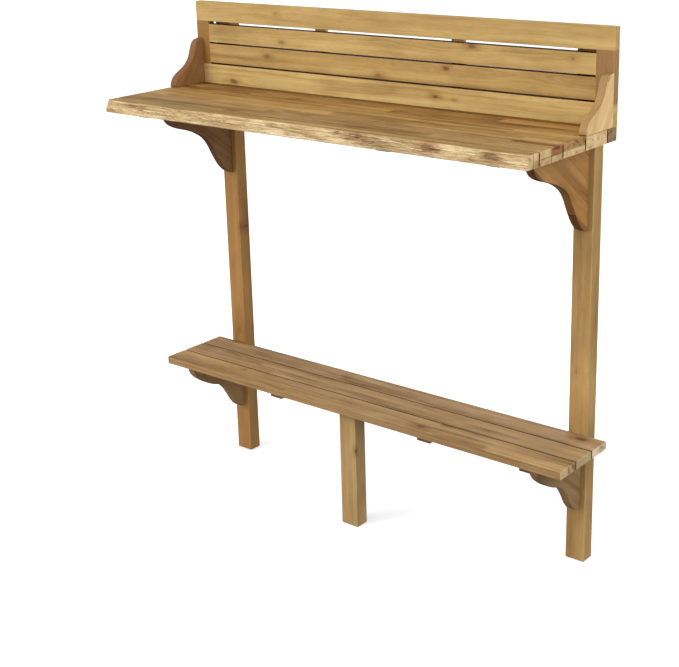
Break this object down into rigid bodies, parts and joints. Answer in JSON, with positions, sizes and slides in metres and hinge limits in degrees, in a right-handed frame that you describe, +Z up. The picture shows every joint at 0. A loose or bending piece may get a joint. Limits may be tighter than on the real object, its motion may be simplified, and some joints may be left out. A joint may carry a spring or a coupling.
{
  "type": "balcony bar table",
  "caption": "Tall wooden wall-side bar with a live-edge slatted worktop, slatted back panel, two posts, curved corbels and a low slatted footrest shelf.",
  "frame": {"origin": "on the floor, under the middle of the overall width and depth", "axes": "+X to the right seen from the front, +Y to the rear where the posts stand against a wall or railing, +Z up"},
  "size_m": [1.2192, 0.3874, 1.251],
  "materials": {
    "acacia_pale": "clear-oiled pale acacia, satin, straight brown grain with small knots",
    "acacia_warm": "clear-oiled golden acacia, satin",
    "acacia_brown": "clear-oiled brown acacia, satin",
    "zinc": "bright zinc-plated fasteners"
  },
  "bodies": {
    "root": {"post_left": "acacia_warm", "post_right": "acacia_warm", "front_leg": "acacia_warm", "live_edge_slat": "acacia_pale", "worktop_slat_front": "acacia_pale", "worktop_slat_middle": "acacia_warm", "worktop_slat_back": "acacia_pale", "worktop_rear_slat": "acacia_brown", "worktop_batten_left": "acacia_warm", "worktop_batten_mid_left": "acacia_warm", "worktop_batten_mid_right": "acacia_warm", "worktop_batten_right": "acacia_warm", "panel_top_rail": "acacia_pale", "panel_upper_slat": "acacia_warm", "panel_lower_slat": "acacia_pale", "panel_bottom_rail": "acacia_pale", "panel_stile_left": "acacia_brown", "panel_stile_right": "acacia_brown", "panel_batten_left": "acacia_pale", "panel_batten_right": "acacia_pale", "gallery_bracket_left": "acacia_warm", "gallery_bracket_right": "acacia_warm", "worktop_corbel_left": "acacia_warm", "worktop_corbel_right": "acacia_warm", "shelf_corbel_left": "acacia_brown", "shelf_corbel_right": "acacia_brown", "shelf_slat_front": "acacia_pale", "shelf_slat_middle": "acacia_warm", "shelf_slat_back": "acacia_brown", "shelf_batten_left": "acacia_brown", "shelf_batten_mid_left": "acacia_brown", "shelf_batten_mid_right": "acacia_brown", "shelf_batten_right": "acacia_brown", "post_bolts": "zinc", "worktop_batten_screws": "zinc", "shelf_batten_screws": "zinc", "gallery_screws": "zinc", "panel_screws": "zinc", "corbel_screws": "zinc", "panel_dowels": "acacia_pale", "leg_stud": "zinc"}
  },
  "joints": []
}
